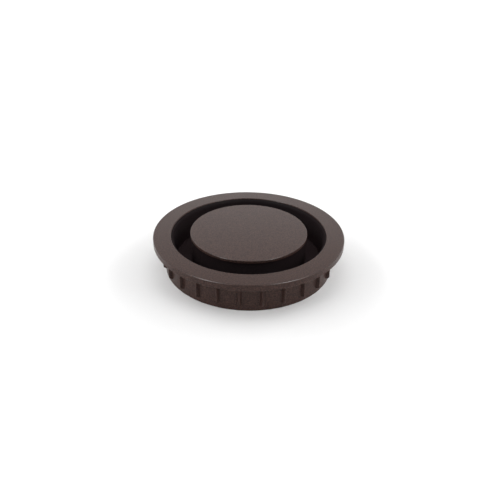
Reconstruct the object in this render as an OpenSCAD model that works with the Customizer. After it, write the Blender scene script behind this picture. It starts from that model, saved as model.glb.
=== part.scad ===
// Desk grommet for a round cable hole in a desk top.
// The ribbed sleeve is pushed into the hole, and a black liner stands in its bore.
// The cap stands on a carrier whose two feet rest on the liner's shelves. The two
// lift out together to let a plug through, and the cables leave by the gap around the cap.
// Millimetres, +Z up. The origin is at the centre of the skirt's foot.

/* [Flange] */
// Outer diameter of the flange that covers the edge of the desk hole
flange_d = 66; // [65:0.5:72]
// Thickness of the flange at its rim
flange_t = 2.25; // [1.8:0.05:3]
// Width of the rim under the flange that seats on the desk
seat_w = 1.8; // [1.2:0.1:1.8]
// Depth of the hollow inside the seating rim
seat_relief = 0.3; // [0.1:0.05:0.5]
// Diameter of the opening in the flange
opening_d = 53.8; // [53.4:0.1:54.2]
// Radius of the flange's rounded edges
flange_round = 0.3; // [0.2:0.05:0.7]

/* [Skirt] */
// Height of the sleeve, from the skirt's foot to the top of the flange
sleeve_h = 12.2; // [11.5:0.1:20]
// Diameter of the skirt between its ribs
skirt_d = 58.4; // [57.4:0.1:59]
// Chamfer that leads the skirt into the hole
lead_in = 0.15; // [0.1:0.05:0.8]

/* [Crush ribs] */
// Number of crush ribs
rib_count = 26; // [12:1:30]
// Diameter over the rib crests, a little more than the 60 mm hole
crest_d = 60.5; // [60.1:0.1:61.5]
// Width of a rib at its crest
rib_crest_w = 0.44; // [0.3:0.02:0.8]
// Width of a rib at the skirt's wall
rib_root_w = 1.2; // [0.9:0.1:2.4]
// Plain height below the ribs
rib_start_z = 1.8; // [0.8:0.1:3]
// Height of the ramp at the foot of a rib
rib_ramp = 0.5; // [0.3:0.1:1.5]
// Angle of the first rib from the front, towards +X
rib_first_angle = 8.8; // [0:0.1:13.8]

/* [Liner] */
// Wall of the liner
liner_wall = 0.95; // [0.8:0.05:1]
// How far the liner's top edge lies below the flange's top
liner_drop = 0.35; // [0.3:0.05:1.5]
// Depth of the taper at the liner's mouth
mouth_h = 1.3; // [0.5:0.1:3]
// Height of the shelves' top above the skirt's foot
shelf_z = 1.6; // [1.3:0.1:2]
// Half of each shelf's angle
shelf_half_angle = 46; // [44:1:50]

/* [Carrier] */
// Outer diameter of the carrier's hub
hub_d = 39.8; // [38:0.1:40]
// Wall of the hub and thickness of its top plate
hub_wall = 1.2; // [1:0.1:1.6]
// Half of each foot's angle
foot_half_angle = 40; // [34:1:41]

/* [Cap] */
// Diameter of the cap
cap_d = 40.5; // [40.4:0.1:41.4]
// Thickness of the cap
cap_t = 0.9; // [0.8:0.05:1.4]
// How far the cap stands above the flange
cap_rise = 0.5; // [0:0.1:1]
// Radius of the cap's rounded edge
cap_round = 0.2; // [0.1:0.05:0.6]
// Radius of the circle that the snap pins stand on
pin_circle_r = 12; // [8:0.5:14]

/* [Hidden] */
$fn = 180;
eps = 0.01;

// Clearances between the pieces
liner_gap = 0.05;
lift_gap = 0.3;
rest_gap = 0.1;

// Sleeve
flange_r = flange_d / 2;
bore_r = opening_d / 2;
skirt_r = skirt_d / 2;
crest_r = crest_d / 2;
flange_under_z = sleeve_h - flange_t;
// The ribs run a little way into the flange
rib_end_z = flange_under_z + seat_relief + 0.2;
bore_round = 0.2;
lip_h = 1.0;

// Liner
liner_r = bore_r - liner_gap;
gap_r = liner_r - liner_wall;
lip_r = gap_r + rest_gap;
liner_top_z = sleeve_h - liner_drop;
// Width of the flat that the taper leaves on the liner's top edge
mouth_land = 0.25;
shelf_r = gap_r - 1.3;
shelf_foot_z = 0.3;
shelf_step = 0.1;
lug_angle = 3;
lug_h = 0.9;
// How deep a shelf or lug is rooted in the liner's wall
root = 0.3;

// Carrier
hub_r = hub_d / 2;
foot_top_z = shelf_z + lug_h;
foot_rest_z = shelf_z + rest_gap;
foot_low_z = 0.9;
foot_r = gap_r - lift_gap;
foot_inner_r = shelf_r - lift_gap;
hub_foot_z = 0.5;

// Cap
cap_r = cap_d / 2;
cap_top_z = sleeve_h + cap_rise;
cap_under_z = cap_top_z - cap_t;
plate_under_z = cap_under_z - hub_wall;

// Snap pins
pin_count = 3;
pin_r = 1.5;
pin_hole_r = pin_r + 0.05;
pin_barb_r = 1.95;
pin_tip_r = 1.1;
pin_tip_h = 1.2;
pin_slot_w = 0.7;

brown = [0.30, 0.26, 0.245];
black = [0.07, 0.065, 0.065];

// Waste of a convex corner, in a section: what a rounded edge leaves outside itself
module corner_waste(r) {
    difference() {
        square(r + eps);
        circle(r, $fn = 48);
    }
}

// Plain ring between two radii and two heights
module ring(inner_r, outer_r, low_z, high_z) {
    translate([0, 0, low_z])
        difference() {
            cylinder(h = high_z - low_z, r = outer_r);
            translate([0, 0, -eps])
                cylinder(h = high_z - low_z + 2 * eps, r = inner_r);
        }
}

// Wedge about +X, used to keep one arc of a ring
module wedge(half_angle, reach, low_z, high_z) {
    translate([0, 0, low_z])
        linear_extrude(high_z - low_z)
            polygon([
                [0, 0],
                reach * [cos(half_angle), -sin(half_angle)],
                reach * [cos(half_angle), sin(half_angle)]
            ]);
}

// Arc of a ring, centred on +X
module arc_of_ring(half_angle, inner_r, outer_r, low_z, high_z) {
    intersection() {
        ring(inner_r, outer_r, low_z, high_z);
        wedge(half_angle, 2 * outer_r, low_z - 1, high_z + 1);
    }
}

// Section of the sleeve, turned about Z
module sleeve_section() {
    difference() {
        union() {
            translate([bore_r, flange_under_z])
                square([flange_r - bore_r, flange_t]);
            translate([bore_r, 0])
                square([skirt_r - bore_r, sleeve_h - flange_round]);
            translate([lip_r, 0])
                square([skirt_r - lip_r, lip_h]);
        }
        // hollow under the flange, which lets its outer rim close on the desk
        translate([skirt_r, flange_under_z - eps])
            square([flange_r - seat_w - skirt_r, seat_relief + eps]);
        // rounded outer edge at the top of the flange
        translate([flange_r - flange_round, sleeve_h - flange_round])
            corner_waste(flange_round);
        // rounded edge of the opening
        translate([bore_r + bore_round, sleeve_h - bore_round])
            mirror([1, 0])
                corner_waste(bore_round);
        // lead-in chamfer at the skirt's foot
        polygon([
            [skirt_r - lead_in, -eps],
            [skirt_r + eps, -eps],
            [skirt_r + eps, lead_in + eps]
        ]);
        // small chamfer under the flange's rim
        polygon([
            [flange_r - 0.2, flange_under_z - eps],
            [flange_r + eps, flange_under_z - eps],
            [flange_r + eps, flange_under_z + 0.2]
        ]);
    }
}

// One crush rib along the skirt, pointing to -Y, with a flat crest
module rib_bar() {
    root_r = skirt_r - 0.4;
    root_w = rib_root_w + 0.4 * (rib_root_w - rib_crest_w) / (crest_r - skirt_r);
    linear_extrude(rib_end_z)
        polygon([
            [-root_w / 2, -root_r],
            [-rib_crest_w / 2, -crest_r],
            [rib_crest_w / 2, -crest_r],
            [root_w / 2, -root_r]
        ]);
}

// Space that holds the ribs: it gives them their length and the ramps at their feet
module rib_envelope() {
    rotate_extrude()
        polygon([
            [bore_r + 1, rib_start_z],
            [skirt_r, rib_start_z],
            [crest_r + eps, rib_start_z + rib_ramp],
            [crest_r + eps, rib_end_z],
            [bore_r + 1, rib_end_z]
        ]);
}

// Flange, skirt and crush ribs, moulded in one
module outer_sleeve() {
    color(brown)
        union() {
            rotate_extrude()
                sleeve_section();
            intersection() {
                for (i = [0 : rib_count - 1])
                    rotate([0, 0, rib_first_angle + i * 360 / rib_count])
                        rib_bar();
                rib_envelope();
            }
        }
}

// One shelf with a stop lug at each end, which keeps the foot from turning off it.
// Its lower half stays inside the sleeve's lip, and its upper half is rooted in the liner.
module shelf() {
    arc_of_ring(shelf_half_angle, shelf_r, gap_r - shelf_step, shelf_foot_z, shelf_z - shelf_step);
    arc_of_ring(shelf_half_angle, shelf_r, gap_r + root, lip_h + shelf_step, shelf_z);
    for (side = [-1, 1])
        rotate([0, 0, side * (shelf_half_angle - lug_angle / 2 - 0.5)])
            arc_of_ring(lug_angle / 2, shelf_r + 0.5, gap_r + root, shelf_z - root, shelf_z + lug_h);
}

// Section of the liner's wall, with the taper that guides the carrier and the cables in
module liner_section() {
    polygon([
        [gap_r, lip_h],
        [liner_r, lip_h],
        [liner_r, liner_top_z],
        [liner_r - mouth_land, liner_top_z],
        [gap_r, liner_top_z - mouth_h]
    ]);
}

// Black ring in the sleeve's bore, standing on the sleeve's bottom lip
module inner_liner() {
    color(black)
        union() {
            rotate_extrude()
                liner_section();
            shelf();
            rotate([0, 0, 180])
                shelf();
        }
}

// One foot: a thick web inside the shelf, with a rim that rests on it
module foot() {
    arc_of_ring(foot_half_angle, hub_r - hub_wall / 2, foot_inner_r, foot_low_z, foot_top_z);
    arc_of_ring(foot_half_angle, foot_inner_r - 0.5, foot_r, foot_rest_z, foot_top_z);
}

// Hub, top plate and two feet: the black piece that the cap is snapped onto
module cap_carrier() {
    color(black)
        difference() {
            union() {
                ring(hub_r - hub_wall, hub_r, hub_foot_z, cap_under_z);
                translate([0, 0, plate_under_z])
                    cylinder(h = hub_wall, r = hub_r - hub_wall / 2);
                foot();
                rotate([0, 0, 180])
                    foot();
            }
            for (i = [0 : pin_count - 1])
                rotate([0, 0, 90 + i * 360 / pin_count])
                    translate([pin_circle_r, 0, plate_under_z - 1])
                        cylinder(h = hub_wall + 2, r = pin_hole_r);
        }
}

// Snap pin with a barb under the carrier's plate, split so that it can close
module snap_pin() {
    barb_top_z = plate_under_z - rest_gap;
    difference() {
        union() {
            translate([0, 0, barb_top_z - eps])
                cylinder(h = cap_under_z - barb_top_z + 0.2, r = pin_r);
            translate([0, 0, barb_top_z - pin_tip_h])
                cylinder(h = pin_tip_h, r1 = pin_tip_r, r2 = pin_barb_r);
        }
        translate([-3, -pin_slot_w / 2, barb_top_z - pin_tip_h - 1])
            cube([6, pin_slot_w, cap_under_z - barb_top_z + pin_tip_h + 0.8]);
    }
}

// Disc in the middle, with its snap pins
module centre_cap() {
    color(brown)
        union() {
            rotate_extrude()
                difference() {
                    translate([0, cap_under_z])
                        square([cap_r, cap_t]);
                    translate([cap_r - cap_round, cap_top_z - cap_round])
                        corner_waste(cap_round);
                }
            for (i = [0 : pin_count - 1])
                rotate([0, 0, 90 + i * 360 / pin_count])
                    translate([pin_circle_r, 0, 0])
                        snap_pin();
        }
}

outer_sleeve();
inner_liner();
cap_carrier();
centre_cap();
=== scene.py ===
"""Builds the finished look of a round desk grommet around its packed design.

Each piece is an operator of its own.
"""

import math

import bmesh
import bpy
from bpy.props import FloatProperty, FloatVectorProperty, IntProperty, PointerProperty
from mathutils import Matrix, Vector


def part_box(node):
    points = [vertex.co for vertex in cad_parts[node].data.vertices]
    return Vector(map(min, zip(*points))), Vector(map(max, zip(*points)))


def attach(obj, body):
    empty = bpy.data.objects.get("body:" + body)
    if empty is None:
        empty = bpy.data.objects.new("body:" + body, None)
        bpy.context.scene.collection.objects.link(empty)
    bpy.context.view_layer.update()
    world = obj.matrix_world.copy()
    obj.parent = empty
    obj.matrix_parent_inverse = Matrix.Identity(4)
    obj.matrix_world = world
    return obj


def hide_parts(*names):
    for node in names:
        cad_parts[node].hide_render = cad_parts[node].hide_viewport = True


bl_info = {
    "name": "Desk Grommet",
    "version": (1, 0, 0),
    "blender": (4, 5, 0),
    "location": "3D View > Sidebar > Grommet",
    "description": "Builds a ribbed sleeve, a liner, a lift-out carrier and a centre cap",
    "category": "Add Mesh",
}

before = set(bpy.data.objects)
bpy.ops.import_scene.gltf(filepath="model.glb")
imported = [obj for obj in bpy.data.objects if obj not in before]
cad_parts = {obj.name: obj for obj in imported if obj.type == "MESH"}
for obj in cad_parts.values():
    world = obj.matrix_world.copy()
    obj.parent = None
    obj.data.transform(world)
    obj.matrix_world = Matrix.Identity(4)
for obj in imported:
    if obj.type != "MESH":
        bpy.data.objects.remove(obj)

MM = 0.001
Z_AXIS = (0, 0, 1)
CENTRE = (0, 0, 0)
TOLERANCE = 0.02 * MM
WELD = 0.001 * MM
HARD_ANGLE = math.radians(35)

# Steps round a full turn, a shelf or a foot, a stop lug, a pin and the plain skirt beside a rib.
TURN_STEPS = 208
ARC_STEPS = 46
LUG_STEPS = 3
PIN_STEPS = 32
PLAIN_STEPS = 3

# Small roundings.
RIB_ROUND = 0.1 * MM
UNDER_ROUND = 0.2 * MM
MOUTH_ROUND = 0.1 * MM

# Shelves and stop lugs. A shelf is stepped back under its top and rooted in the liner's wall.
SHELF_STEP = 0.1 * MM
SHELF_ROOT = 0.3 * MM
LUG_HEIGHT = 0.9 * MM
LUG_HALF_ANGLE = math.radians(1.5)
LUG_INSET = math.radians(0.5)
LUG_SETBACK = 0.5 * MM

# Feet. Each rests a little above its shelf and stays clear of the liner beside it.
REST_GAP = 0.1 * MM
LIFT_GAP = 0.3 * MM
FOOT_LOW = 0.9 * MM
FOOT_OVERLAP = 0.5 * MM

# Snap pins, with their holes and slots.
PIN_COUNT = 3
FIRST_PIN = math.radians(90)
PIN_FIT = 0.05 * MM
PIN_TIP_RADIUS = 1.1 * MM
PIN_ROOT = 0.2 * MM
BARB_RADIUS = 1.95 * MM
BARB_GAP = 0.1 * MM
SLOT_SIZE = (6 * MM, 0.7 * MM, 2.9 * MM)
SLOT_DEPTH = 1.65 * MM

# Rings of edges that divide the flat discs.
INNER_RING = 8 * MM
OUTER_RING = 17 * MM

# Noise scales, in cells a metre, and the stretch that most of a noise lies in.
CLOUD_SCALE = 70
SPECKLE_SCALE = 2300
POLISH_SCALE = 220
FINE_SCALE = 3800
COARSE_SCALE = 1300
FLOOR_SCALE = 30
NOISE_LOW = 0.3
NOISE_HIGH = 0.7

# Unevenness of the plastics.
CLOUD_CONTRAST = 0.06
SPECKLE_SHARE = 0.7
POLISH_SPREAD = 0.015
GRAIN_STRENGTH = 0.5
# Painted light: at and below this height the black plastic takes its full lighter colour, which
# lifts the shade deep in the gap.
PAINTED_LIGHT_BELOW = 3 * MM

# Places and sizes of the lights, in metres.
SIDE_PLACE = (0.75, 0.1, 0.35)
SIDE_SIZE = (1.3, 0.6)
BACK_PLACE = (0, 0.9, 0.26)
BACK_SIZE = (2.4, 0.52)
GLINT_PLACE = (0.4, -0.29, 0.5)
GLINT_SIZE = (0.05, 0.05)
TOP_PLACE = (0, 0.1, 0.9)
TOP_SIZE = (0.7, 0.7)

FLOOR_RADIUS = 1.6
FLOOR_SEGMENTS = 96
BACKDROP = (0.93, 0.93, 0.93, 1)


# ---------------------------------------------------------------- settings

class GrommetSizes(bpy.types.PropertyGroup):
    """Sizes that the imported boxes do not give"""

    flange_thickness: FloatProperty(
        name="Flange thickness", description="Height of the flange's rim",
        default=2.25 * MM, unit="LENGTH")
    seat_width: FloatProperty(
        name="Seat width", description="Width of the rim under the flange that seats on the desk",
        default=1.8 * MM, unit="LENGTH")
    seat_relief: FloatProperty(
        name="Seat relief", description="Depth of the hollow inside the seating rim",
        default=0.3 * MM, unit="LENGTH")
    rim_round: FloatProperty(
        name="Rim round", description="Radius of the flange's rounded outer edge",
        default=0.3 * MM, unit="LENGTH")
    opening_round: FloatProperty(
        name="Opening round", description="Radius of the opening's rounded edge",
        default=0.2 * MM, unit="LENGTH")
    liner_fit: FloatProperty(
        name="Liner fit", description="Clearance between the liner and the sleeve's bore",
        default=0.05 * MM, unit="LENGTH")
    skirt_radius: FloatProperty(
        name="Skirt radius", description="Radius of the skirt between its ribs",
        default=29.2 * MM, unit="LENGTH")
    lead_in: FloatProperty(
        name="Lead-in", description="Chamfer at the skirt's foot",
        default=0.15 * MM, unit="LENGTH")
    lip_height: FloatProperty(
        name="Lip height", description="Height of the lip that the liner stands on",
        default=1.0 * MM, unit="LENGTH")
    liner_wall: FloatProperty(
        name="Liner wall", description="Wall thickness of the liner",
        default=0.95 * MM, unit="LENGTH")
    mouth_depth: FloatProperty(
        name="Mouth depth", description="Depth of the taper at the liner's mouth",
        default=1.3 * MM, unit="LENGTH")
    mouth_land: FloatProperty(
        name="Mouth land", description="Width of the flat that the taper leaves on the top edge",
        default=0.25 * MM, unit="LENGTH")
    lip_clearance: FloatProperty(
        name="Lip clearance", description="How far the lip stays behind the liner's inner wall",
        default=0.1 * MM, unit="LENGTH")
    rib_count: IntProperty(
        name="Crush ribs", description="Number of crush ribs round the skirt",
        default=26, min=12, max=30)
    rib_crest_radius: FloatProperty(
        name="Crest radius", description="Radius over the rib crests",
        default=30.25 * MM, unit="LENGTH")
    rib_crest_width: FloatProperty(
        name="Crest width", description="Width of a rib at its crest",
        default=0.44 * MM, unit="LENGTH")
    rib_root_width: FloatProperty(
        name="Root width", description="Width of a rib at the skirt's wall",
        default=1.2 * MM, unit="LENGTH")
    rib_start: FloatProperty(
        name="Rib start", description="Plain height below the ribs",
        default=1.8 * MM, unit="LENGTH")
    rib_ramp: FloatProperty(
        name="Rib ramp", description="Height of the ramp at a rib's foot",
        default=0.5 * MM, unit="LENGTH")
    rib_first_angle: FloatProperty(
        name="First rib", description="Angle of the first rib from the front",
        default=math.radians(8.8), unit="ROTATION", subtype="ANGLE")
    hub_wall: FloatProperty(
        name="Hub wall", description="Wall and plate thickness of the carrier",
        default=1.2 * MM, unit="LENGTH")
    cap_round: FloatProperty(
        name="Cap round", description="Radius of the cap's rounded edge",
        default=0.2 * MM, unit="LENGTH")
    shelf_depth: FloatProperty(
        name="Shelf depth", description="How far a shelf stands out from the liner's wall",
        default=1.3 * MM, unit="LENGTH")
    shelf_height: FloatProperty(
        name="Shelf height", description="Height of the shelves' top above the skirt's foot",
        default=1.6 * MM, unit="LENGTH")
    shelf_half_angle: FloatProperty(
        name="Shelf half angle", description="Half of the angle that each shelf covers",
        default=math.radians(46), unit="ROTATION", subtype="ANGLE")
    foot_half_angle: FloatProperty(
        name="Foot half angle", description="Half of the angle that each foot covers",
        default=math.radians(40), unit="ROTATION", subtype="ANGLE")
    pin_circle: FloatProperty(
        name="Pin circle", description="Radius of the circle that the snap pins stand on",
        default=12.0 * MM, unit="LENGTH")
    pin_radius: FloatProperty(
        name="Pin radius", description="Radius of a snap pin's shank",
        default=1.5 * MM, unit="LENGTH")


class GrommetColours(bpy.types.PropertyGroup):
    """Colours of the mouldings"""

    brown: FloatVectorProperty(
        name="Brown plastic", description="Colour of the sleeve and the cap",
        default=(0.0435, 0.0230, 0.0187), subtype="COLOR", size=3, min=0, max=1)
    black: FloatVectorProperty(
        name="Black plastic", description="Colour of the liner and the carrier",
        default=(0.0090, 0.0052, 0.0058), subtype="COLOR", size=3, min=0, max=1)
    # Painted light: a lighter colour for the black plastic low down, where the shade is deepest,
    # to lift that shade.
    painted_light_colour: FloatVectorProperty(
        name="Painted_light", description="Colour of the black plastic where dust has settled, low down",
        default=(0.034, 0.0225, 0.024), subtype="COLOR", size=3, min=0, max=1)
    floor: FloatVectorProperty(
        name="Floor", description="Colour of the floor",
        default=(0.9, 0.9, 0.9), subtype="COLOR", size=3, min=0, max=1)


class GrommetStage(bpy.types.PropertyGroup):
    """Camera and lights"""

    lens: FloatProperty(
        name="Lens", description="Focal length of the camera, in millimetres",
        default=39.6, unit="CAMERA")
    elevation: FloatProperty(
        name="Elevation", description="Angle of the camera above the horizon",
        default=math.radians(28.9), unit="ROTATION", subtype="ANGLE")
    distance: FloatProperty(
        name="Distance", description="From the camera to the flange's top",
        default=191.6 * MM, unit="LENGTH")
    roll: FloatProperty(
        name="Roll", description="How far the camera leans to its left",
        default=math.radians(0.93), unit="ROTATION", subtype="ANGLE")
    shift: FloatVectorProperty(
        name="Shift", description="How far the picture is shifted in the frame, across and up",
        default=(0.0024, -0.0367), size=2)
    side_power: FloatProperty(
        name="Side lights", description="Power of each side softbox, in watts", default=7.4)
    back_power: FloatProperty(
        name="Back light", description="Power of the bright panel behind, in watts", default=6.6)
    glint_power: FloatProperty(
        name="Glint lamps", description="Power of each small lamp that only shows as a glint",
        default=15.0)
    top_power: FloatProperty(
        name="Top light", description="Power of the overhead softbox, in watts", default=1.7)
    room: FloatProperty(
        name="Room light", description="Strength of the room's even light", default=0.39)


# ---------------------------------------------------------------- measures

def sizes():
    return bpy.context.scene.grommet_sizes


def colours():
    return bpy.context.scene.grommet_colours


def bore_radius():
    """The sleeve's bore is a fit round the liner."""
    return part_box("inner_liner")[1].x + sizes().liner_fit


def gap_radius():
    """Inner wall of the liner: the outside of the cable gap."""
    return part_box("inner_liner")[1].x - sizes().liner_wall


def radius_of(vert):
    return math.hypot(vert.co.x, vert.co.y)


def near(value, target):
    return abs(value - target) < TOLERANCE


# ---------------------------------------------------------------- modelling

def outline(bm, points):
    """A closed section in the XZ half plane, as a loop of edges."""
    verts = [bm.verts.new((r, 0, z)) for r, z in points]
    edges = [bm.edges.new(pair) for pair in zip(verts, verts[1:] + verts[:1])]
    return verts + edges


def spin(bm, geom, angle, steps, **options):
    """Turns geometry about the grommet's axis and returns where it ends."""
    return bmesh.ops.spin(
        bm, geom=geom, cent=CENTRE, axis=Z_AXIS, angle=angle, steps=steps, **options)["geom_last"]


def turned(bm, geom, angle):
    verts = [item for item in geom if isinstance(item, bmesh.types.BMVert)]
    bmesh.ops.rotate(bm, verts=verts, cent=CENTRE, matrix=Matrix.Rotation(angle, 3, "Z"))


def rings(bm, radius, height):
    """The round edges that lie at one radius and one height."""
    return [
        edge for edge in bm.edges
        if all(near(radius_of(v), radius) and near(v.co.z, height) for v in edge.verts)]


def round_edges(bm, edges, width, segments):
    bmesh.ops.bevel(
        bm, geom=edges, offset=width, offset_type="OFFSET", segments=segments, profile=0.5,
        affect="EDGES", material=-1, clamp_overlap=True)


def finish_piece(bm, name, node, body, material):
    """Closes the mesh, turns its faces outwards and hangs the piece on its body."""
    bmesh.ops.remove_doubles(bm, verts=bm.verts[:], dist=WELD)
    bmesh.ops.dissolve_degenerate(bm, edges=bm.edges[:], dist=WELD)
    bmesh.ops.recalc_face_normals(bm, faces=bm.faces[:])
    for face in bm.faces:
        face.smooth = True
    for edge in bm.edges:
        edge.smooth = len(edge.link_faces) == 2 and edge.calc_face_angle() < HARD_ANGLE
    mesh = bpy.data.meshes.new(name)
    bm.to_mesh(mesh)
    bm.free()
    piece = bpy.data.objects.new(name, mesh)
    bpy.context.scene.collection.objects.link(piece)
    mesh.materials.append(material)
    weighting = piece.modifiers.new("weighted_normals", "WEIGHTED_NORMAL")
    weighting.keep_sharp = True
    weighting.weight = 80
    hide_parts(node)
    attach(piece, body)
    return piece


def solid(bm, name):
    """Holds a closed shape in a plain object, for joining to another."""
    bmesh.ops.remove_doubles(bm, verts=bm.verts[:], dist=WELD)
    bmesh.ops.recalc_face_normals(bm, faces=bm.faces[:])
    mesh = bpy.data.meshes.new(name)
    bm.to_mesh(mesh)
    bm.free()
    shape = bpy.data.objects.new(name, mesh)
    bpy.context.scene.collection.objects.link(shape)
    return shape


def joined(base, added=(), cut=()):
    """One clean mesh from closed shapes: some are added to the base, and some cut from it."""
    for operation, parts in (("UNION", added), ("DIFFERENCE", cut)):
        for part in parts:
            modifier = base.modifiers.new(part.name, "BOOLEAN")
            modifier.operation = operation
            modifier.solver = "EXACT"
            modifier.object = part
    bm = bmesh.new()
    bm.from_object(base, bpy.context.evaluated_depsgraph_get())
    for shape in (base, *added, *cut):
        bpy.data.meshes.remove(shape.data)
    return bm


def arc_block(name, middle, half_angle, inner, outer, low, high, steps):
    """A closed block: one arc of a ring of rectangular section."""
    bm = bmesh.new()
    start = outline(bm, [(inner, low), (outer, low), (outer, high), (inner, high)])
    turned(bm, start, middle - half_angle)
    start.append(bmesh.ops.contextual_create(bm, geom=start[4:])["faces"][0])
    spin(bm, start, 2 * half_angle, steps)
    return solid(bm, name)


def round_bar(name, points, place, steps):
    """A closed turned shape that stands upright at a place."""
    bm = bmesh.new()
    verts = [bm.verts.new((r, 0, z)) for r, z in points]
    edges = [bm.edges.new(pair) for pair in zip(verts, verts[1:])]
    spin(bm, verts + edges, math.tau, steps, use_merge=True)
    bmesh.ops.translate(bm, verts=bm.verts[:], vec=place)
    return solid(bm, name)


def pin_places():
    """Angles and places of the snap pins' axes, one at the back and two at the front."""
    for i in range(PIN_COUNT):
        angle = FIRST_PIN + i * math.tau / PIN_COUNT
        yield angle, Vector((math.cos(angle), math.sin(angle), 0)) * sizes().pin_circle


# ---------------------------------------------------------------- pieces

def sleeve_outline(bm):
    low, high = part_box("outer_sleeve")
    s = sizes()
    bore, lip = bore_radius(), gap_radius() + s.lip_clearance
    under = high.z - s.flange_thickness
    seat, ceiling = high.x - s.seat_width, under + s.seat_relief
    return outline(bm, [
        (bore, high.z), (high.x, high.z), (high.x, under), (seat, under), (seat, ceiling),
        (s.skirt_radius, ceiling),
        (s.skirt_radius, s.rib_start + s.rib_ramp), (s.skirt_radius, s.rib_start),
        (s.skirt_radius, low.z), (lip, low.z), (lip, s.lip_height), (bore, s.lip_height)])


def rib_sector(bm, middle):
    """One pitch of the sleeve, with its rib raised in the middle."""
    s = sizes()
    crest = math.asin(s.rib_crest_width / 2 / s.rib_crest_radius)
    root = math.asin(s.rib_root_width / 2 / s.skirt_radius)
    plain = math.pi / s.rib_count - root
    edge = sleeve_outline(bm)
    turned(bm, edge, middle - plain - root)
    columns = []
    for angle, steps in (
            (plain, PLAIN_STEPS), (root - crest, 1), (2 * crest, 1), (root - crest, 1),
            (plain, PLAIN_STEPS)):
        columns.append(edge)
        edge = spin(bm, edge, angle, steps)
    crest_columns = columns[2:4]
    for column in crest_columns:
        for vert in (item for item in column if isinstance(item, bmesh.types.BMVert)):
            on_wall = near(radius_of(vert), s.skirt_radius)
            if on_wall and vert.co.z > s.rib_start + TOLERANCE:
                vert.co.xy *= s.rib_crest_radius / s.skirt_radius


def rib_edges(bm, ceiling):
    """The long edges of the rib crests, and the edges of the ramps at their feet."""
    s = sizes()
    found = []
    for edge in bm.edges:
        raised = [near(radius_of(v), s.rib_crest_radius) for v in edge.verts]
        heights = sorted(v.co.z for v in edge.verts)
        sloping = heights[1] - heights[0] > TOLERANCE
        foot = near(heights[1], s.rib_start + s.rib_ramp)
        if all(raised) and (sloping or foot) and heights[0] < ceiling - TOLERANCE:
            found.append(edge)
        elif any(raised) and foot and sloping:
            found.append(edge)
    return found


class GROMMET_OT_sleeve(bpy.types.Operator):
    """Builds the flange, the skirt and the crush ribs as one moulding"""
    bl_idname = "grommet.sleeve"
    bl_label = "Outer sleeve"

    def execute(self, context):
        s = sizes()
        low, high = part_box("outer_sleeve")
        under = high.z - s.flange_thickness
        bm = bmesh.new()
        rib_sector(bm, math.radians(-90) + s.rib_first_angle)
        others = s.rib_count - 1
        spin(
            bm, bm.verts[:] + bm.edges[:] + bm.faces[:], math.tau * others / s.rib_count, others,
            use_duplicate=True)
        bmesh.ops.remove_doubles(bm, verts=bm.verts[:], dist=WELD)
        bmesh.ops.recalc_face_normals(bm, faces=bm.faces[:])
        round_edges(bm, rib_edges(bm, under + s.seat_relief), RIB_ROUND, segments=2)
        round_edges(bm, rings(bm, high.x, high.z), s.rim_round, segments=6)
        round_edges(bm, rings(bm, high.x, under), UNDER_ROUND, segments=3)
        round_edges(bm, rings(bm, bore_radius(), high.z), s.opening_round, segments=6)
        round_edges(bm, rings(bm, s.skirt_radius, low.z), s.lead_in, segments=1)
        finish_piece(
            bm, "sleeve_moulding", "outer_sleeve", "sleeve",
            brown_plastic())
        return {"FINISHED"}


class GROMMET_OT_liner(bpy.types.Operator):
    """Builds the black ring in the bore, with its two shelves and their stop lugs"""
    bl_idname = "grommet.liner"
    bl_label = "Inner liner"

    def execute(self, context):
        s = sizes()
        low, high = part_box("inner_liner")
        inner = gap_radius()
        shelf_inner = inner - s.shelf_depth
        lug_top = s.shelf_height + LUG_HEIGHT
        bm = bmesh.new()
        edge = outline(bm, [
            (inner, s.lip_height), (high.x, s.lip_height), (high.x, high.z),
            (high.x - s.mouth_land, high.z), (inner, high.z - s.mouth_depth)])
        spin(bm, edge, math.tau, TURN_STEPS, use_merge=True)
        bmesh.ops.recalc_face_normals(bm, faces=bm.faces[:])
        round_edges(bm, rings(bm, high.x - s.mouth_land, high.z), MOUTH_ROUND, segments=3)
        ring = solid(bm, "liner_ring")
        added = []
        for middle in (0, math.pi):
            added.append(arc_block(
                "shelf_low", middle, s.shelf_half_angle, shelf_inner, inner - SHELF_STEP, low.z,
                s.shelf_height - SHELF_STEP, ARC_STEPS))
            added.append(arc_block(
                "shelf_top", middle, s.shelf_half_angle, shelf_inner, inner + SHELF_ROOT,
                s.lip_height + SHELF_STEP, s.shelf_height, ARC_STEPS))
            for side in (-1, 1):
                at = middle + side * (s.shelf_half_angle - LUG_HALF_ANGLE - LUG_INSET)
                added.append(arc_block(
                    "lug", at, LUG_HALF_ANGLE, shelf_inner + LUG_SETBACK, inner + SHELF_ROOT,
                    s.shelf_height - SHELF_ROOT, lug_top, LUG_STEPS))
        bm = joined(ring, added=added)
        finish_piece(
            bm, "liner_moulding", "inner_liner", "sleeve", black_plastic())
        return {"FINISHED"}


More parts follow.
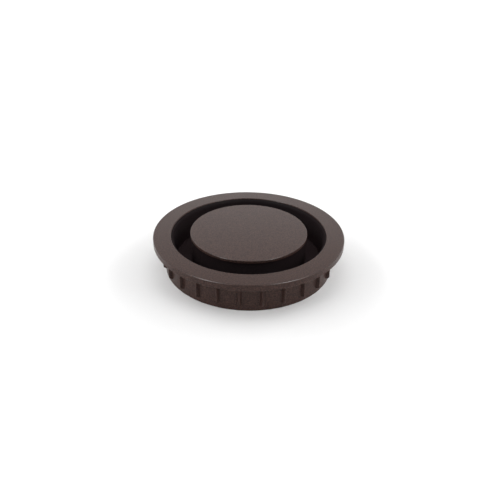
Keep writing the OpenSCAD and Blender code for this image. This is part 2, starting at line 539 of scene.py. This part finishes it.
class GROMMET_OT_carrier(bpy.types.Operator):
    """Builds the black hub with its two feet and the holes for the snap pins"""
    bl_idname = "grommet.carrier"
    bl_label = "Cap carrier"

    def execute(self, context):
        s = sizes()
        low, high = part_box("cap_carrier")
        hub, inside, plate = high.y, high.y - s.hub_wall, high.z - s.hub_wall
        foot_top = s.shelf_height + LUG_HEIGHT
        foot_rest = s.shelf_height + REST_GAP
        web = gap_radius() - s.shelf_depth - LIFT_GAP
        reach = gap_radius() - LIFT_GAP
        body = round_bar("hub", [
            (0, plate), (INNER_RING, plate), (inside, plate), (inside, low.z), (hub, low.z),
            (hub, high.z), (INNER_RING, high.z), (0, high.z)], CENTRE, TURN_STEPS)
        added, cut = [], []
        for middle in (0, math.pi):
            added.append(arc_block(
                "web", middle, s.foot_half_angle, hub - s.hub_wall / 2, web, FOOT_LOW,
                foot_top, ARC_STEPS))
            added.append(arc_block(
                "rest", middle, s.foot_half_angle, web - FOOT_OVERLAP, reach, foot_rest,
                foot_top, ARC_STEPS))
        for _, place in pin_places():
            hole = s.pin_radius + PIN_FIT
            cut.append(round_bar("pin_hole", [
                (0, plate - MM), (hole, plate - MM), (hole, high.z + MM), (0, high.z + MM)],
                place, PIN_STEPS))
        bm = joined(body, added=added, cut=cut)
        finish_piece(
            bm, "carrier_moulding", "cap_carrier", "insert",
            black_plastic())
        return {"FINISHED"}


class GROMMET_OT_cap(bpy.types.Operator):
    """Builds the centre cap with its split snap pins"""
    bl_idname = "grommet.cap"
    bl_label = "Centre cap"

    def execute(self, context):
        s = sizes()
        low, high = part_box("centre_cap")
        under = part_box("cap_carrier")[1].z
        plate = under - s.hub_wall
        barb = plate - BARB_GAP
        bm = bmesh.new()
        points = [
            (0, under), (OUTER_RING, under), (high.x, under), (high.x, high.z),
            (OUTER_RING, high.z), (INNER_RING, high.z), (0, high.z)]
        verts = [bm.verts.new((r, 0, z)) for r, z in points]
        edges = [bm.edges.new(pair) for pair in zip(verts, verts[1:])]
        spin(bm, verts + edges, math.tau, TURN_STEPS, use_merge=True)
        bmesh.ops.remove_doubles(bm, verts=bm.verts[:], dist=WELD)
        bmesh.ops.recalc_face_normals(bm, faces=bm.faces[:])
        round_edges(bm, rings(bm, high.x, high.z), s.cap_round, segments=6)
        disc = solid(bm, "disc")
        pins, slots = [], []
        for angle, place in pin_places():
            pins.append(round_bar("pin", [
                (0, low.z), (PIN_TIP_RADIUS, low.z), (BARB_RADIUS, barb), (s.pin_radius, barb),
                (s.pin_radius, under + PIN_ROOT), (0, under + PIN_ROOT)], place, PIN_STEPS))
            cube = bmesh.new()
            bmesh.ops.create_cube(cube, size=1)
            bmesh.ops.scale(cube, verts=cube.verts[:], vec=SLOT_SIZE)
            bmesh.ops.rotate(
                cube, verts=cube.verts[:], cent=CENTRE, matrix=Matrix.Rotation(angle, 3, "Z"))
            bmesh.ops.translate(
                cube, verts=cube.verts[:], vec=place + Vector((0, 0, under - SLOT_DEPTH)))
            slots.append(solid(cube, "pin_slot"))
        bm = joined(disc, added=pins, cut=slots)
        finish_piece(
            bm, "cap_moulding", "centre_cap", "insert", brown_plastic())
        return {"FINISHED"}


# ---------------------------------------------------------------- materials

def new_material(name):
    material = bpy.data.materials.new(name)
    material.use_nodes = True
    nodes = material.node_tree.nodes
    return material, nodes, material.node_tree.links, nodes["Principled BSDF"]


def noise(nodes, links, where, scale, detail):
    texture = nodes.new("ShaderNodeTexNoise")
    texture.inputs["Scale"].default_value = scale
    texture.inputs["Detail"].default_value = detail
    texture.inputs["Roughness"].default_value = 0.5
    links.new(where.outputs["Object"], texture.inputs["Vector"])
    return texture.outputs["Fac"]


def ramp(nodes, links, value, dark, light):
    """Turns a noise into a colour between two."""
    made = nodes.new("ShaderNodeValToRGB")
    made.color_ramp.elements[0].position = NOISE_LOW
    made.color_ramp.elements[1].position = NOISE_HIGH
    made.color_ramp.elements[0].color = (*dark, 1)
    made.color_ramp.elements[1].color = (*light, 1)
    links.new(value, made.inputs["Fac"])
    return made.outputs["Color"]


def spread(nodes, links, value, low, high):
    """Maps the middle of a noise onto a range."""
    made = nodes.new("ShaderNodeMapRange")
    made.inputs["From Min"].default_value = NOISE_LOW
    made.inputs["From Max"].default_value = NOISE_HIGH
    made.inputs["To Min"].default_value = low
    made.inputs["To Max"].default_value = high
    links.new(value, made.inputs["Value"])
    return made.outputs["Result"]


def grain(nodes, links, heights, depth):
    """Bump from one or more noises, one on top of the other."""
    normal = None
    for height in heights:
        bump = nodes.new("ShaderNodeBump")
        bump.inputs["Distance"].default_value = depth
        bump.inputs["Strength"].default_value = GRAIN_STRENGTH
        links.new(height, bump.inputs["Height"])
        if normal is not None:
            links.new(normal, bump.inputs["Normal"])
        normal = bump.outputs["Normal"]
    return normal


def mixed(nodes, links, factor, first, second):
    """Blends two colours, by a number or by the output of a node."""
    tone = nodes.new("ShaderNodeMix")
    tone.data_type = "RGBA"
    if isinstance(factor, float):
        tone.inputs["Factor"].default_value = factor
    else:
        links.new(factor, tone.inputs["Factor"])
    links.new(first, tone.inputs["A"])
    links.new(second, tone.inputs["B"])
    return tone.outputs["Result"]


def mottled(nodes, links, where, colour, speckled):
    """An uneven colour: broad soft clouds under a fine speckle."""
    cloud = noise(nodes, links, where, CLOUD_SCALE, detail=3)
    speckle = noise(nodes, links, where, SPECKLE_SCALE, detail=2)
    tones = []
    for value, contrast in ((cloud, CLOUD_CONTRAST), (speckle, speckled)):
        dark = [c * (1 - contrast) for c in colour]
        light = [c * (1 + contrast) for c in colour]
        tones.append(ramp(nodes, links, value, dark, light))
    return mixed(nodes, links, SPECKLE_SHARE, *tones)


def depth_below(nodes, links, where, top, bottom):
    """Runs from 0 at one height to 1 at a lower one."""
    parts = nodes.new("ShaderNodeSeparateXYZ")
    links.new(where.outputs["Object"], parts.inputs["Vector"])
    made = nodes.new("ShaderNodeMapRange")
    made.inputs["From Min"].default_value = top
    made.inputs["From Max"].default_value = bottom
    links.new(parts.outputs["Z"], made.inputs["Value"])
    return made.outputs["Result"]


def surface(nodes, links, shader, where, roughness, depth, shine):
    """Soft polish marks, a fine spark-eroded grain and a faint gloss."""
    polish = noise(nodes, links, where, POLISH_SCALE, detail=4)
    links.new(
        spread(nodes, links, polish, roughness - POLISH_SPREAD, roughness + POLISH_SPREAD),
        shader.inputs["Roughness"])
    shader.inputs["Specular IOR Level"].default_value = shine
    fine = noise(nodes, links, where, FINE_SCALE, detail=3)
    coarse = noise(nodes, links, where, COARSE_SCALE, detail=2)
    links.new(grain(nodes, links, (fine, coarse), depth), shader.inputs["Normal"])


def brown_plastic():
    """The visible mouldings: brown, speckled, with a satin grain."""
    name = "brown_plastic"
    if name not in bpy.data.materials:
        material, nodes, links, shader = new_material(name)
        where = nodes.new("ShaderNodeTexCoord")
        links.new(
            mottled(nodes, links, where, colours().brown, speckled=0.8),
            shader.inputs["Base Color"])
        surface(
            nodes, links, shader, where, roughness=0.35, depth=0.016 * MM, shine=0.145)
    return bpy.data.materials[name]


def black_plastic():
    """The inner mouldings: black at the top, turning lighter downwards, a painted light that
    lifts the shade deep in the gap.
    """
    name = "black_plastic"
    if name not in bpy.data.materials:
        material, nodes, links, shader = new_material(name)
        where = nodes.new("ShaderNodeTexCoord")
        plain_black = mottled(nodes, links, where, colours().black, speckled=0.2)
        # Painted light: a lighter tone mixed in towards the bottom, which lifts the shade deep in
        # the gap.
        painted_light_tone = mottled(nodes, links, where, colours().painted_light_colour, speckled=0.2)
        painted_light_mask = depth_below(nodes, links, where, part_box("inner_liner")[1].z, PAINTED_LIGHT_BELOW)
        links.new(mixed(nodes, links, painted_light_mask, plain_black, painted_light_tone), shader.inputs["Base Color"])
        surface(nodes, links, shader, where, roughness=0.6, depth=0.02 * MM, shine=0.03)
    return bpy.data.materials[name]


# ---------------------------------------------------------------- stage

def mirrored(place, side):
    """The place itself, or the same place on the other side of the middle."""
    x, y, z = place
    return side * x, y, z


def softbox(name, place, aim, size, power):
    light = bpy.data.lights.new(name, "AREA")
    light.shape = "RECTANGLE"
    light.size, light.size_y = size
    light.energy = power
    lamp = bpy.data.objects.new(name, light)
    lamp.location = place
    lamp.rotation_euler = (Vector(aim) - Vector(place)).to_track_quat("-Z", "Y").to_euler()
    bpy.context.scene.collection.objects.link(lamp)
    return lamp


class GROMMET_OT_stage(bpy.types.Operator):
    """Sets the floor, the soft lights, the room and the camera"""
    bl_idname = "grommet.stage"
    bl_label = "Stage"

    def execute(self, context):
        scene = context.scene
        stage = scene.grommet_stage
        low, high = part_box("outer_sleeve")
        self.floor(low.z)
        target = Vector((0, 0, high.z))
        for side in (-1, 1):
            softbox(
                "side_panel", mirrored(SIDE_PLACE, side), target, SIDE_SIZE, stage.side_power)
        softbox("back_panel", BACK_PLACE, target, BACK_SIZE, stage.back_power)
        for side in (-1, 1):
            glint = softbox(
                "glint_lamp", mirrored(GLINT_PLACE, side), target, GLINT_SIZE,
                stage.glint_power)
            glint.visible_diffuse = False
        softbox("top_softbox", TOP_PLACE, target, TOP_SIZE, stage.top_power)
        self.room(scene, stage.room)
        self.camera(scene, stage, target)
        scene.view_settings.view_transform = "Standard"
        return {"FINISHED"}

    def floor(self, height):
        bm = bmesh.new()
        bmesh.ops.create_circle(
            bm, cap_ends=True, segments=FLOOR_SEGMENTS, radius=FLOOR_RADIUS)
        bmesh.ops.translate(bm, verts=bm.verts[:], vec=(0, 0, height))
        mesh = bpy.data.meshes.new("floor")
        bm.to_mesh(mesh)
        bm.free()
        floor = bpy.data.objects.new("floor", mesh)
        bpy.context.scene.collection.objects.link(floor)
        material, nodes, links, shader = new_material("pale_floor")
        where = nodes.new("ShaderNodeTexCoord")
        pale = list(colours().floor)
        dusk = [c * 0.985 for c in pale]
        cloud = noise(nodes, links, where, FLOOR_SCALE, detail=3)
        links.new(ramp(nodes, links, cloud, dusk, pale), shader.inputs["Base Color"])
        shader.inputs["Roughness"].default_value = 0.9
        shader.inputs["Specular IOR Level"].default_value = 0.2
        mesh.materials.append(material)

    def room(self, scene, strength):
        """An even dim light all round, behind which the camera sees a pale backdrop."""
        scene.world = bpy.data.worlds.new("room")
        scene.world.use_nodes = True
        nodes, links = scene.world.node_tree.nodes, scene.world.node_tree.links
        dim = nodes["Background"]
        dim.inputs["Color"].default_value = (1, 1, 1, 1)
        dim.inputs["Strength"].default_value = strength
        pale = nodes.new("ShaderNodeBackground")
        pale.inputs["Color"].default_value = BACKDROP
        path = nodes.new("ShaderNodeLightPath")
        blend = nodes.new("ShaderNodeMixShader")
        links.new(path.outputs["Is Camera Ray"], blend.inputs["Fac"])
        links.new(dim.outputs["Background"], blend.inputs[1])
        links.new(pale.outputs["Background"], blend.inputs[2])
        links.new(blend.outputs["Shader"], nodes["World Output"].inputs["Surface"])

    def camera(self, scene, stage, target):
        data = bpy.data.cameras.new("camera")
        data.lens = stage.lens
        data.sensor_width = 36
        data.shift_x, data.shift_y = stage.shift
        data.clip_start, data.clip_end = 0.01, 20
        back = Vector((0, -math.cos(stage.elevation), math.sin(stage.elevation)))
        camera = bpy.data.objects.new("camera", data)
        camera.location = target + back * stage.distance
        facing = (-back).to_track_quat("-Z", "Y")
        camera.rotation_euler = (
            facing @ Matrix.Rotation(stage.roll, 3, "Z").to_quaternion()).to_euler()
        scene.collection.objects.link(camera)
        scene.camera = camera


# ---------------------------------------------------------------- add-on

class GROMMET_PT_panel(bpy.types.Panel):
    """Lists the grommet's settings and its pieces"""
    bl_label = "Desk Grommet"
    bl_idname = "GROMMET_PT_panel"
    bl_space_type = "VIEW_3D"
    bl_region_type = "UI"
    bl_category = "Grommet"

    def draw(self, context):
        layout = self.layout
        scene = context.scene
        for group in (scene.grommet_sizes, scene.grommet_colours, scene.grommet_stage):
            box = layout.box()
            for name in group.bl_rna.properties.keys():
                if name not in ("rna_type", "name"):
                    box.prop(group, name)
        for operator in PIECES:
            layout.operator(operator.bl_idname)


PIECES = (
    GROMMET_OT_stage, GROMMET_OT_sleeve, GROMMET_OT_liner, GROMMET_OT_carrier, GROMMET_OT_cap)
CLASSES = (GrommetSizes, GrommetColours, GrommetStage, *PIECES, GROMMET_PT_panel)


def register():
    for cls in CLASSES:
        bpy.utils.register_class(cls)
    bpy.types.Scene.grommet_sizes = PointerProperty(type=GrommetSizes)
    bpy.types.Scene.grommet_colours = PointerProperty(type=GrommetColours)
    bpy.types.Scene.grommet_stage = PointerProperty(type=GrommetStage)


def unregister():
    del bpy.types.Scene.grommet_stage
    del bpy.types.Scene.grommet_colours
    del bpy.types.Scene.grommet_sizes
    for cls in reversed(CLASSES):
        bpy.utils.unregister_class(cls)


def main():
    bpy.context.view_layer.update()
    register()
    bpy.ops.grommet.stage()
    bpy.ops.grommet.sleeve()
    bpy.ops.grommet.liner()
    bpy.ops.grommet.carrier()
    bpy.ops.grommet.cap()


if __name__ == "__main__":
    main()
